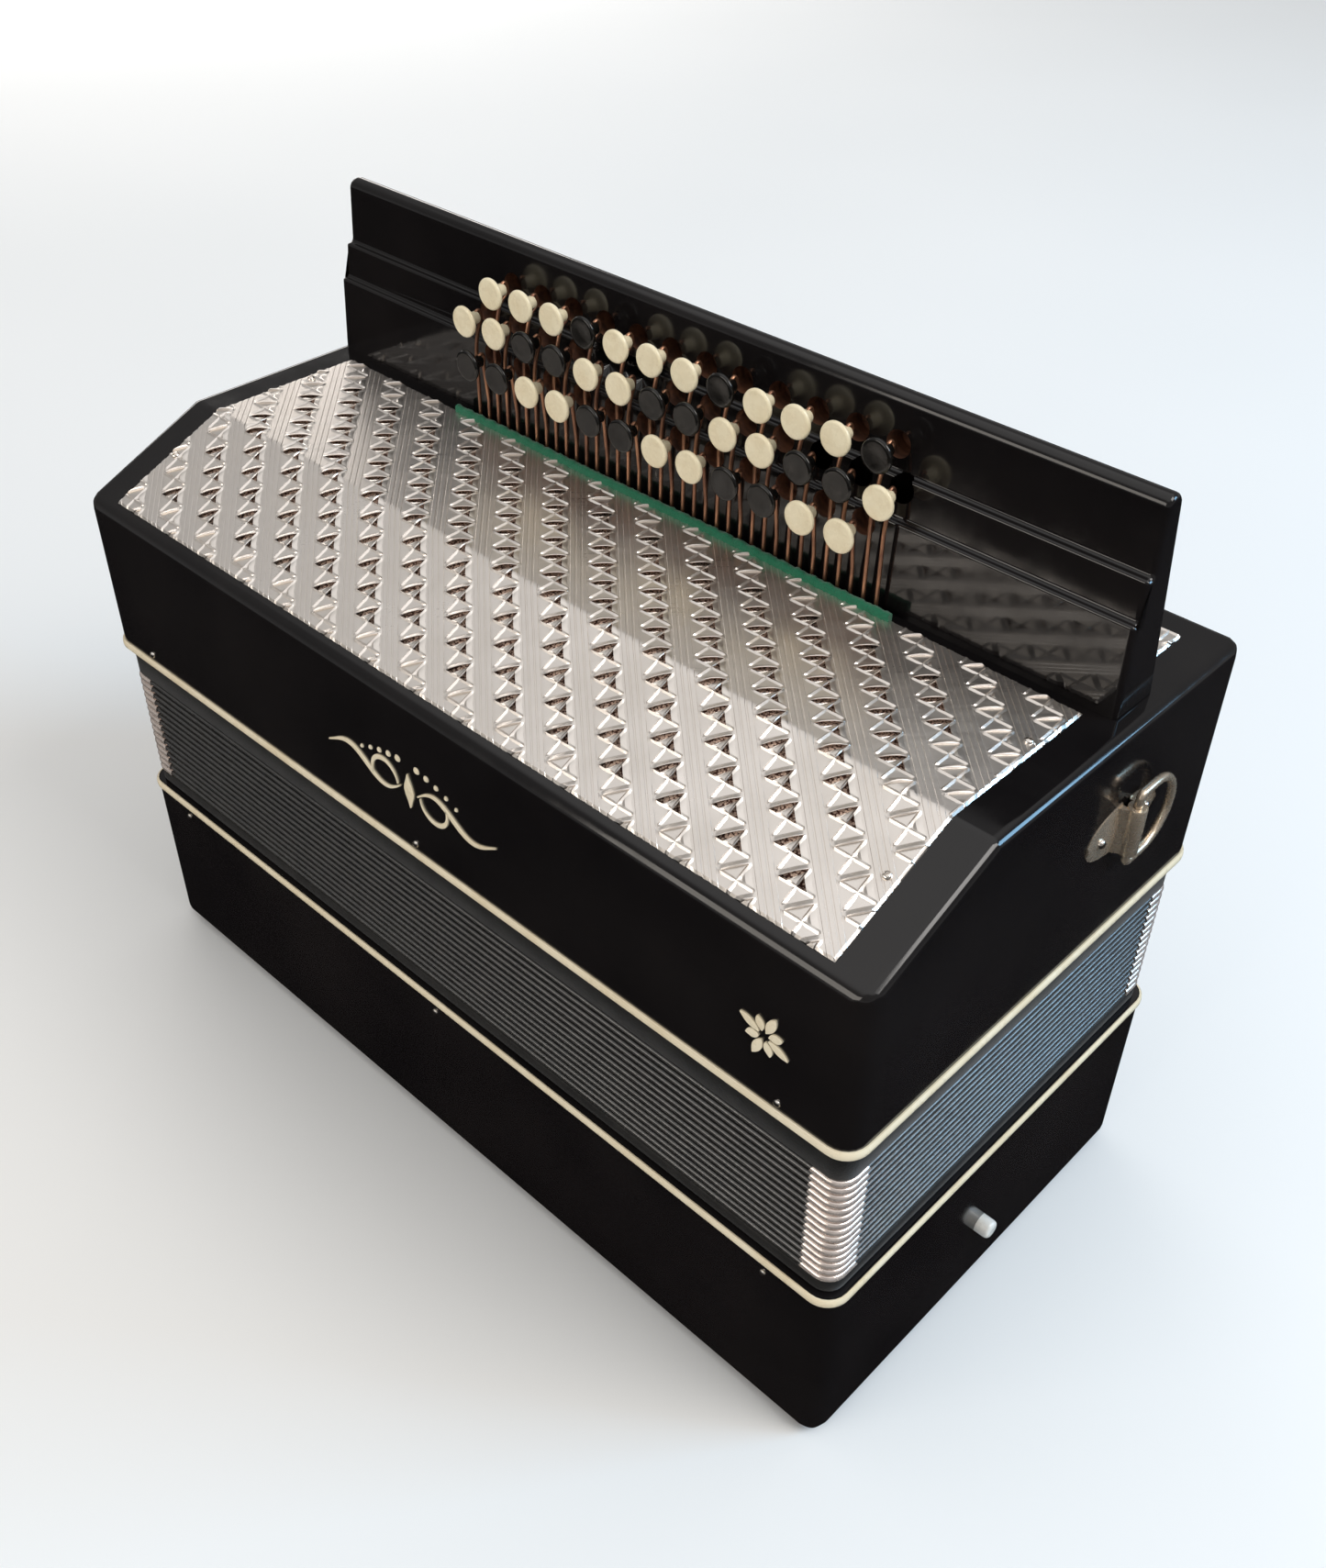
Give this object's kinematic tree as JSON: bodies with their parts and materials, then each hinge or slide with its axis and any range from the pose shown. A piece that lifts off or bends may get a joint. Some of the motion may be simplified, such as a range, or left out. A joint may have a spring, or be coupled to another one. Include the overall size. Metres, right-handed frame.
{
  "type": "chromatic button accordion",
  "caption": "Free-reed box with stepped treble buttons on wire levers, a pierced metal grille, folded bellows with metal corners, and a bass side with a hand strap.",
  "frame": {"origin": "on the floor under the middle of the box, which stands on its bass side", "axes": "+Z from the bass side up to the treble side, along the bellows' travel; +X along the casings and the button rows; -Y is the front, away from the player"},
  "size_m": [0.4364, 0.212, 0.342],
  "materials": {
    "black_lacquer": "high gloss black celluloid over plywood",
    "raw_wood": "sanded",
    "cream_strip": "glossy cream celluloid",
    "black_cloth_frame": "black cloth over wood",
    "foot_rubber": "matt",
    "strap_leather": "dark worn leather",
    "bass_button": "glossy",
    "white_button": "glossy",
    "bellows_cloth": "waxed black cloth over card",
    "corner_chrome": "polished",
    "grille_aluminium": "stamped, satin",
    "axle_steel": "drawn",
    "bracket_nickel": "worn nickel plate",
    "cream_button": "glossy",
    "black_button": "glossy",
    "copper_wire": "dull",
    "green_felt": "pressed felt"
  },
  "bodies": {
    "bass_side": {"bass_casing": "black_lacquer", "bass_panel": "black_lacquer", "bass_soundboard": "raw_wood", "bass_reed_blocks": "raw_wood", "bass_trim": "cream_strip", "bass_bellows_frame": "black_cloth_frame", "feet": "foot_rubber", "hand_strap": "strap_leather", "bellows": "bellows_cloth", "bellows_corners": "corner_chrome"},
    "treble_side": {"treble_casing": "black_lacquer", "treble_trim": "cream_strip", "treble_bellows_frame": "black_cloth_frame", "treble_grille": "grille_aluminium", "treble_soundboard": "raw_wood", "treble_reed_blocks": "raw_wood", "keyboard_board": "black_lacquer", "lever_axle": "axle_steel", "strap_brackets": "bracket_nickel"},
    "bass_button_bank": {"bass_buttons": "bass_button"},
    "air_plunger": {"air_button": "white_button"},
    "ring_right": {"strap_ring_right": "bracket_nickel"},
    "ring_left": {"strap_ring_left": "bracket_nickel"},
    "lever_01": {"key_01": "cream_button"},
    "lever_02": {"key_02": "black_button"},
    "lever_03": {"key_03": "cream_button"},
    "lever_04": {"key_04": "cream_button"},
    "lever_05": {"key_05": "black_button"},
    "lever_06": {"key_06": "cream_button"},
    "lever_07": {"key_07": "black_button"},
    "lever_08": {"key_08": "cream_button"},
    "lever_09": {"key_09": "cream_button"},
    "lever_10": {"key_10": "black_button"},
    "lever_11": {"key_11": "cream_button"},
    "lever_12": {"key_12": "black_button"},
    "lever_13": {"key_13": "cream_button"},
    "lever_14": {"key_14": "black_button"},
    "lever_15": {"key_15": "cream_button"},
    "lever_16": {"key_16": "cream_button"},
    "lever_17": {"key_17": "black_button"},
    "lever_18": {"key_18": "cream_button"},
    "lever_19": {"key_19": "black_button"},
    "lever_20": {"key_20": "cream_button"},
    "lever_21": {"key_21": "cream_button"},
    "lever_22": {"key_22": "black_button"},
    "lever_23": {"key_23": "cream_button"},
    "lever_24": {"key_24": "black_button"},
    "lever_25": {"key_25": "cream_button"},
    "lever_26": {"key_26": "black_button"},
    "lever_27": {"key_27": "cream_button"},
    "lever_28": {"key_28": "cream_button"},
    "lever_29": {"key_29": "black_button"},
    "lever_30": {"key_30": "cream_button"},
    "lever_31": {"key_31": "black_button"},
    "lever_32": {"key_32": "cream_button"},
    "lever_33": {"key_33": "cream_button"},
    "lever_34": {"key_34": "black_button"},
    "lever_35": {"key_35": "cream_button"},
    "lever_36": {"key_36": "black_button"},
    "lever_37": {"key_37": "cream_button"}
  },
  "joints": [
    {"name": "bellows_stretch", "type": "slide", "parent": "bass_side", "child": "treble_side", "axis": [0, 0, 1], "range_m": [0, 0.28], "deforming": ["bellows", "bellows_corners"]},
    {"name": "bass_button_press", "type": "slide", "parent": "bass_side", "child": "bass_button_bank", "axis": [0, 0, 1], "range_m": [0, 0.003], "stiffness_N_per_m": 2000, "springref_m": -0.004},
    {"name": "air_button_press", "type": "slide", "parent": "bass_side", "child": "air_plunger", "axis": [-1, 0, 0], "range_m": [0, 0.004], "stiffness_N_per_m": 300, "springref_m": -0.005},
    {"name": "strap_ring_right_swing", "type": "hinge", "parent": "treble_side", "child": "ring_right", "pos_m": [0.2147, 0.035, 0.22399], "axis": [0, 0, -1], "range_deg": [0, 150]},
    {"name": "strap_ring_left_swing", "type": "hinge", "parent": "treble_side", "child": "ring_left", "pos_m": [-0.2147, 0.035, 0.22399], "axis": [0, 0, 1], "range_deg": [0, 150]},
    {"name": "press_01", "type": "hinge", "parent": "treble_side", "child": "lever_01", "pos_m": [-0.1056, 0.0282, 0.24799], "axis": [-1, 0, 0], "range_deg": [0, 2.93], "stiffness_Nm_per_rad": 0.3, "springref_deg": -11.46},
    {"name": "press_02", "type": "hinge", "parent": "treble_side", "child": "lever_02", "pos_m": [-0.09973, 0.0282, 0.24799], "axis": [-1, 0, 0], "range_deg": [0, 3.9], "stiffness_Nm_per_rad": 0.3, "springref_deg": -11.46},
    {"name": "press_03", "type": "hinge", "parent": "treble_side", "child": "lever_03", "pos_m": [-0.09387, 0.0282, 0.24799], "axis": [-1, 0, 0], "range_deg": [0, 2.41], "stiffness_Nm_per_rad": 0.3, "springref_deg": -11.46},
    {"name": "press_04", "type": "hinge", "parent": "treble_side", "child": "lever_04", "pos_m": [-0.088, 0.0282, 0.24799], "axis": [-1, 0, 0], "range_deg": [0, 2.93], "stiffness_Nm_per_rad": 0.3, "springref_deg": -11.46},
    {"name": "press_05", "type": "hinge", "parent": "treble_side", "child": "lever_05", "pos_m": [-0.08213, 0.0282, 0.24799], "axis": [-1, 0, 0], "range_deg": [0, 3.9], "stiffness_Nm_per_rad": 0.3, "springref_deg": -11.46},
    {"name": "press_06", "type": "hinge", "parent": "treble_side", "child": "lever_06", "pos_m": [-0.07627, 0.0282, 0.24799], "axis": [-1, 0, 0], "range_deg": [0, 2.41], "stiffness_Nm_per_rad": 0.3, "springref_deg": -11.46},
    {"name": "press_07", "type": "hinge", "parent": "treble_side", "child": "lever_07", "pos_m": [-0.0704, 0.0282, 0.24799], "axis": [-1, 0, 0], "range_deg": [0, 2.93], "stiffness_Nm_per_rad": 0.3, "springref_deg": -11.46},
    {"name": "press_08", "type": "hinge", "parent": "treble_side", "child": "lever_08", "pos_m": [-0.06453, 0.0282, 0.24799], "axis": [-1, 0, 0], "range_deg": [0, 3.9], "stiffness_Nm_per_rad": 0.3, "springref_deg": -11.46},
    {"name": "press_09", "type": "hinge", "parent": "treble_side", "child": "lever_09", "pos_m": [-0.05867, 0.0282, 0.24799], "axis": [-1, 0, 0], "range_deg": [0, 2.41], "stiffness_Nm_per_rad": 0.3, "springref_deg": -11.46},
    {"name": "press_10", "type": "hinge", "parent": "treble_side", "child": "lever_10", "pos_m": [-0.0528, 0.0282, 0.24799], "axis": [-1, 0, 0], "range_deg": [0, 2.93], "stiffness_Nm_per_rad": 0.3, "springref_deg": -11.46},
    {"name": "press_11", "type": "hinge", "parent": "treble_side", "child": "lever_11", "pos_m": [-0.04693, 0.0282, 0.24799], "axis": [-1, 0, 0], "range_deg": [0, 3.9], "stiffness_Nm_per_rad": 0.3, "springref_deg": -11.46},
    {"name": "press_12", "type": "hinge", "parent": "treble_side", "child": "lever_12", "pos_m": [-0.04107, 0.0282, 0.24799], "axis": [-1, 0, 0], "range_deg": [0, 2.41], "stiffness_Nm_per_rad": 0.3, "springref_deg": -11.46},
    {"name": "press_13", "type": "hinge", "parent": "treble_side", "child": "lever_13", "pos_m": [-0.0352, 0.0282, 0.24799], "axis": [-1, 0, 0], "range_deg": [0, 2.93], "stiffness_Nm_per_rad": 0.3, "springref_deg": -11.46},
    {"name": "press_14", "type": "hinge", "parent": "treble_side", "child": "lever_14", "pos_m": [-0.02933, 0.0282, 0.24799], "axis": [-1, 0, 0], "range_deg": [0, 3.9], "stiffness_Nm_per_rad": 0.3, "springref_deg": -11.46},
    {"name": "press_15", "type": "hinge", "parent": "treble_side", "child": "lever_15", "pos_m": [-0.02347, 0.0282, 0.24799], "axis": [-1, 0, 0], "range_deg": [0, 2.41], "stiffness_Nm_per_rad": 0.3, "springref_deg": -11.46},
    {"name": "press_16", "type": "hinge", "parent": "treble_side", "child": "lever_16", "pos_m": [-0.0176, 0.0282, 0.24799], "axis": [-1, 0, 0], "range_deg": [0, 2.93], "stiffness_Nm_per_rad": 0.3, "springref_deg": -11.46},
    {"name": "press_17", "type": "hinge", "parent": "treble_side", "child": "lever_17", "pos_m": [-0.01173, 0.0282, 0.24799], "axis": [-1, 0, 0], "range_deg": [0, 3.9], "stiffness_Nm_per_rad": 0.3, "springref_deg": -11.46},
    {"name": "press_18", "type": "hinge", "parent": "treble_side", "child": "lever_18", "pos_m": [-0.00587, 0.0282, 0.24799], "axis": [-1, 0, 0], "range_deg": [0, 2.41], "stiffness_Nm_per_rad": 0.3, "springref_deg": -11.46},
    {"name": "press_19", "type": "hinge", "parent": "treble_side", "child": "lever_19", "pos_m": [0, 0.0282, 0.24799], "axis": [-1, 0, 0], "range_deg": [0, 2.93], "stiffness_Nm_per_rad": 0.3, "springref_deg": -11.46},
    {"name": "press_20", "type": "hinge", "parent": "treble_side", "child": "lever_20", "pos_m": [0.00587, 0.0282, 0.24799], "axis": [-1, 0, 0], "range_deg": [0, 3.9], "stiffness_Nm_per_rad": 0.3, "springref_deg": -11.46},
    {"name": "press_21", "type": "hinge", "parent": "treble_side", "child": "lever_21", "pos_m": [0.01173, 0.0282, 0.24799], "axis": [-1, 0, 0], "range_deg": [0, 2.41], "stiffness_Nm_per_rad": 0.3, "springref_deg": -11.46},
    {"name": "press_22", "type": "hinge", "parent": "treble_side", "child": "lever_22", "pos_m": [0.0176, 0.0282, 0.24799], "axis": [-1, 0, 0], "range_deg": [0, 2.93], "stiffness_Nm_per_rad": 0.3, "springref_deg": -11.46},
    {"name": "press_23", "type": "hinge", "parent": "treble_side", "child": "lever_23", "pos_m": [0.02347, 0.0282, 0.24799], "axis": [-1, 0, 0], "range_deg": [0, 3.9], "stiffness_Nm_per_rad": 0.3, "springref_deg": -11.46},
    {"name": "press_24", "type": "hinge", "parent": "treble_side", "child": "lever_24", "pos_m": [0.02933, 0.0282, 0.24799], "axis": [-1, 0, 0], "range_deg": [0, 2.41], "stiffness_Nm_per_rad": 0.3, "springref_deg": -11.46},
    {"name": "press_25", "type": "hinge", "parent": "treble_side", "child": "lever_25", "pos_m": [0.0352, 0.0282, 0.24799], "axis": [-1, 0, 0], "range_deg": [0, 2.93], "stiffness_Nm_per_rad": 0.3, "springref_deg": -11.46},
    {"name": "press_26", "type": "hinge", "parent": "treble_side", "child": "lever_26", "pos_m": [0.04107, 0.0282, 0.24799], "axis": [-1, 0, 0], "range_deg": [0, 3.9], "stiffness_Nm_per_rad": 0.3, "springref_deg": -11.46},
    {"name": "press_27", "type": "hinge", "parent": "treble_side", "child": "lever_27", "pos_m": [0.04693, 0.0282, 0.24799], "axis": [-1, 0, 0], "range_deg": [0, 2.41], "stiffness_Nm_per_rad": 0.3, "springref_deg": -11.46},
    {"name": "press_28", "type": "hinge", "parent": "treble_side", "child": "lever_28", "pos_m": [0.0528, 0.0282, 0.24799], "axis": [-1, 0, 0], "range_deg": [0, 2.93], "stiffness_Nm_per_rad": 0.3, "springref_deg": -11.46},
    {"name": "press_29", "type": "hinge", "parent": "treble_side", "child": "lever_29", "pos_m": [0.05867, 0.0282, 0.24799], "axis": [-1, 0, 0], "range_deg": [0, 3.9], "stiffness_Nm_per_rad": 0.3, "springref_deg": -11.46},
    {"name": "press_30", "type": "hinge", "parent": "treble_side", "child": "lever_30", "pos_m": [0.06453, 0.0282, 0.24799], "axis": [-1, 0, 0], "range_deg": [0, 2.41], "stiffness_Nm_per_rad": 0.3, "springref_deg": -11.46},
    {"name": "press_31", "type": "hinge", "parent": "treble_side", "child": "lever_31", "pos_m": [0.0704, 0.0282, 0.24799], "axis": [-1, 0, 0], "range_deg": [0, 2.93], "stiffness_Nm_per_rad": 0.3, "springref_deg": -11.46},
    {"name": "press_32", "type": "hinge", "parent": "treble_side", "child": "lever_32", "pos_m": [0.07627, 0.0282, 0.24799], "axis": [-1, 0, 0], "range_deg": [0, 3.9], "stiffness_Nm_per_rad": 0.3, "springref_deg": -11.46},
    {"name": "press_33", "type": "hinge", "parent": "treble_side", "child": "lever_33", "pos_m": [0.08213, 0.0282, 0.24799], "axis": [-1, 0, 0], "range_deg": [0, 2.41], "stiffness_Nm_per_rad": 0.3, "springref_deg": -11.46},
    {"name": "press_34", "type": "hinge", "parent": "treble_side", "child": "lever_34", "pos_m": [0.088, 0.0282, 0.24799], "axis": [-1, 0, 0], "range_deg": [0, 2.93], "stiffness_Nm_per_rad": 0.3, "springref_deg": -11.46},
    {"name": "press_35", "type": "hinge", "parent": "treble_side", "child": "lever_35", "pos_m": [0.09387, 0.0282, 0.24799], "axis": [-1, 0, 0], "range_deg": [0, 3.9], "stiffness_Nm_per_rad": 0.3, "springref_deg": -11.46},
    {"name": "press_36", "type": "hinge", "parent": "treble_side", "child": "lever_36", "pos_m": [0.09973, 0.0282, 0.24799], "axis": [-1, 0, 0], "range_deg": [0, 2.41], "stiffness_Nm_per_rad": 0.3, "springref_deg": -11.46},
    {"name": "press_37", "type": "hinge", "parent": "treble_side", "child": "lever_37", "pos_m": [0.1056, 0.0282, 0.24799], "axis": [-1, 0, 0], "range_deg": [0, 2.93], "stiffness_Nm_per_rad": 0.3, "springref_deg": -11.46}
  ]
}
